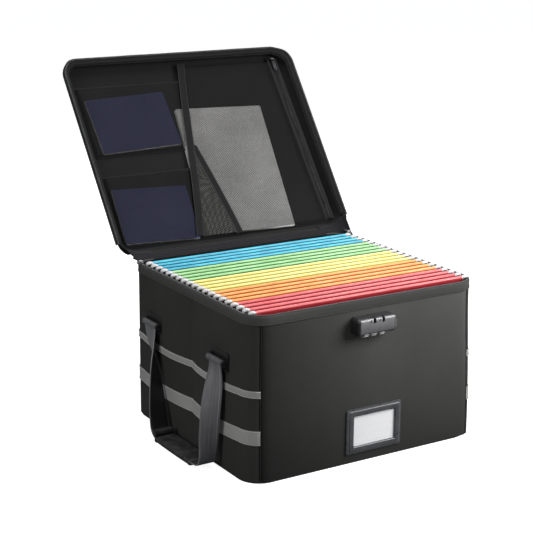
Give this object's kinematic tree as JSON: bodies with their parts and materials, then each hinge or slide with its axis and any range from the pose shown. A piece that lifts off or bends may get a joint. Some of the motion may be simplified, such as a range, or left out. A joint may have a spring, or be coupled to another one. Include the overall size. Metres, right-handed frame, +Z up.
{
  "type": "portable file box",
  "caption": "Soft-sided portable file box with a zipped, hinged lid, hanging folders, lid pockets, webbing side handles, a combination lock and a label holder.",
  "frame": {"origin": "centre of the flat underside of the box", "axes": "+X to the right along the front, +Y towards the hinged rear edge, +Z up"},
  "size_m": [0.491, 0.6233, 0.5419],
  "materials": {
    "cover_fabric": "matt woven",
    "side_fabric": "matt woven",
    "board": "matt",
    "lining_fabric": "matt",
    "binding": "ribbed",
    "zip": "satin",
    "rail": "satin",
    "grey_tape": "satin",
    "anchor": "satin",
    "label_plastic": "satin",
    "window": "clear",
    "lock_case": "satin",
    "steel": "satin",
    "band": "ribbed",
    "mesh": "open mesh",
    "hinge_fabric": "matt woven",
    "zip_metal": "polished",
    "booklet": "matt",
    "notebook": "matt",
    "card": "plain",
    "lock_dial": "satin",
    "webbing": "ribbed",
    "grip": "matt",
    "buckle": "satin",
    "folder_red": "matt",
    "folder_orange": "matt",
    "folder_yellow": "matt",
    "folder_green": "matt",
    "folder_blue": "matt"
  },
  "bodies": {
    "box": {"front_panel": "cover_fabric", "rear_panel": "cover_fabric", "left_side_panel": "side_fabric", "right_side_panel": "side_fabric", "bottom_panel": "cover_fabric", "bottom_board": "board", "wall_boards": "board", "box_lining": "lining_fabric", "rim_band": "binding", "rim_zip_chain": "zip", "folder_rails": "rail", "grey_strips_left": "grey_tape", "grey_strips_right": "grey_tape", "handle_anchors_left": "anchor", "handle_anchors_right": "anchor", "label_frame": "label_plastic", "label_window": "window", "lock_housing": "lock_case", "lock_screws": "steel", "lock_spindle": "steel"},
    "lid": {"lid_cover": "cover_fabric", "lid_board": "board", "lid_lining": "lining_fabric", "lid_rim_binding": "binding", "lid_zip_chain": "zip", "pocket_bands": "band", "mesh_pockets_left": "mesh", "mesh_pocket_right": "mesh", "pocket_zip_chain": "zip", "hinge_strip": "hinge_fabric"},
    "pocket_slider": {"pocket_zip_slider": "zip_metal"},
    "pocket_pull": {"pocket_zip_pull": "zip_metal"},
    "booklet_upper": {"booklet_upper": "booklet"},
    "booklet_lower": {"booklet_lower": "booklet"},
    "notebook": {"notebook": "notebook"},
    "zip_slider_left": {"zip_slider_left": "zip_metal"},
    "zip_slider_right": {"zip_slider_right": "zip_metal"},
    "zip_pull_left": {"zip_pull_left": "zip_metal"},
    "zip_pull_right": {"zip_pull_right": "zip_metal"},
    "label_card": {"label_card": "card"},
    "lock_dial_1": {"lock_dial_1": "lock_dial"},
    "lock_dial_2": {"lock_dial_2": "lock_dial"},
    "lock_dial_3": {"lock_dial_3": "lock_dial"},
    "lock_button": {"lock_button": "lock_case"},
    "handle_assembly_left": {"handle_left": "webbing", "handle_grip_left": "grip", "handle_buckles_left": "buckle"},
    "handle_assembly_right": {"handle_right": "webbing", "handle_grip_right": "grip", "handle_buckles_right": "buckle"},
    "folder_01": {"hanging_folder_01": "folder_red"},
    "folder_02": {"hanging_folder_02": "folder_red"},
    "folder_03": {"hanging_folder_03": "folder_orange"},
    "folder_04": {"hanging_folder_04": "folder_orange"},
    "folder_05": {"hanging_folder_05": "folder_yellow"},
    "folder_06": {"hanging_folder_06": "folder_yellow"},
    "folder_07": {"hanging_folder_07": "folder_green"},
    "folder_08": {"hanging_folder_08": "folder_green"},
    "folder_09": {"hanging_folder_09": "folder_blue"},
    "folder_10": {"hanging_folder_10": "folder_blue"}
  },
  "joints": [
    {"name": "lid_hinge", "type": "hinge", "parent": "box", "child": "lid", "pos_m": [0, 0.181, 0.248], "axis": [-1, 0, 0], "range_deg": [-128, 37]},
    {"name": "zip_slide_left", "type": "slide", "parent": "box", "child": "zip_slider_left", "axis": [0, -1, 0], "range_m": [0, 0.28]},
    {"name": "zip_pull_hinge_left", "type": "hinge", "parent": "zip_slider_left", "child": "zip_pull_left", "pos_m": [-0.1981, 0.157, 0.253], "axis": [1, 0, 0], "range_deg": [0, 150]},
    {"name": "zip_slide_right", "type": "slide", "parent": "box", "child": "zip_slider_right", "axis": [0, -1, 0], "range_m": [0, 0.28]},
    {"name": "zip_pull_hinge_right", "type": "hinge", "parent": "zip_slider_right", "child": "zip_pull_right", "pos_m": [0.1981, 0.157, 0.253], "axis": [1, 0, 0], "range_deg": [0, 150]},
    {"name": "pocket_zip_slide", "type": "slide", "parent": "lid", "child": "pocket_slider", "axis": [0, -0.6157, -0.788], "range_m": [0, 0.3]},
    {"name": "pocket_pull_hinge", "type": "hinge", "parent": "pocket_slider", "child": "pocket_pull", "pos_m": [0.192, 0.39903, 0.51927], "axis": [-1, 0, 0], "range_deg": [0, 120]},
    {"name": "booklet_upper_slide", "type": "slide", "parent": "lid", "child": "booklet_upper", "axis": [0, 0.6157, 0.788], "range_m": [0, 0.045]},
    {"name": "booklet_lower_slide", "type": "slide", "parent": "lid", "child": "booklet_lower", "axis": [0, 0.6157, 0.788], "range_m": [0, 0.04]},
    {"name": "notebook_slide", "type": "slide", "parent": "lid", "child": "notebook", "axis": [0, 0.6157, 0.788], "range_m": [0, 0.07]},
    {"name": "label_card_slide", "type": "slide", "parent": "box", "child": "label_card", "axis": [0, 0, 1], "range_m": [0, 0.055]},
    {"name": "dial_turn_1", "type": "hinge", "parent": "box", "child": "lock_dial_1", "pos_m": [-0.0184, -0.1924, 0.204], "axis": [1, 0, 0], "continuous": true},
    {"name": "dial_turn_2", "type": "hinge", "parent": "box", "child": "lock_dial_2", "pos_m": [-0.0044, -0.1924, 0.204], "axis": [1, 0, 0], "continuous": true},
    {"name": "dial_turn_3", "type": "hinge", "parent": "box", "child": "lock_dial_3", "pos_m": [0.0096, -0.1924, 0.204], "axis": [1, 0, 0], "continuous": true},
    {"name": "button_press", "type": "slide", "parent": "box", "child": "lock_button", "axis": [-1, 0, 0], "range_m": [0, 0.0025], "stiffness_N_per_m": 800, "springref_m": -0.001},
    {"name": "handle_swing_left", "type": "hinge", "parent": "box", "child": "handle_assembly_left", "pos_m": [-0.2104, 0, 0.168], "axis": [0, 1, 0], "range_deg": [0, 140]},
    {"name": "handle_swing_right", "type": "hinge", "parent": "box", "child": "handle_assembly_right", "pos_m": [0.2104, 0, 0.168], "axis": [0, -1, 0], "range_deg": [0, 140]},
    {"name": "folder_lift_01", "type": "slide", "parent": "box", "child": "folder_01", "axis": [0, 0, 1], "range_m": [0, 0.15]},
    {"name": "folder_lift_02", "type": "slide", "parent": "box", "child": "folder_02", "axis": [0, 0, 1], "range_m": [0, 0.15]},
    {"name": "folder_lift_03", "type": "slide", "parent": "box", "child": "folder_03", "axis": [0, 0, 1], "range_m": [0, 0.15]},
    {"name": "folder_lift_04", "type": "slide", "parent": "box", "child": "folder_04", "axis": [0, 0, 1], "range_m": [0, 0.15]},
    {"name": "folder_lift_05", "type": "slide", "parent": "box", "child": "folder_05", "axis": [0, 0, 1], "range_m": [0, 0.15]},
    {"name": "folder_lift_06", "type": "slide", "parent": "box", "child": "folder_06", "axis": [0, 0, 1], "range_m": [0, 0.15]},
    {"name": "folder_lift_07", "type": "slide", "parent": "box", "child": "folder_07", "axis": [0, 0, 1], "range_m": [0, 0.15]},
    {"name": "folder_lift_08", "type": "slide", "parent": "box", "child": "folder_08", "axis": [0, 0, 1], "range_m": [0, 0.15]},
    {"name": "folder_lift_09", "type": "slide", "parent": "box", "child": "folder_09", "axis": [0, 0, 1], "range_m": [0, 0.15]},
    {"name": "folder_lift_10", "type": "slide", "parent": "box", "child": "folder_10", "axis": [0, 0, 1], "range_m": [0, 0.15]}
  ]
}
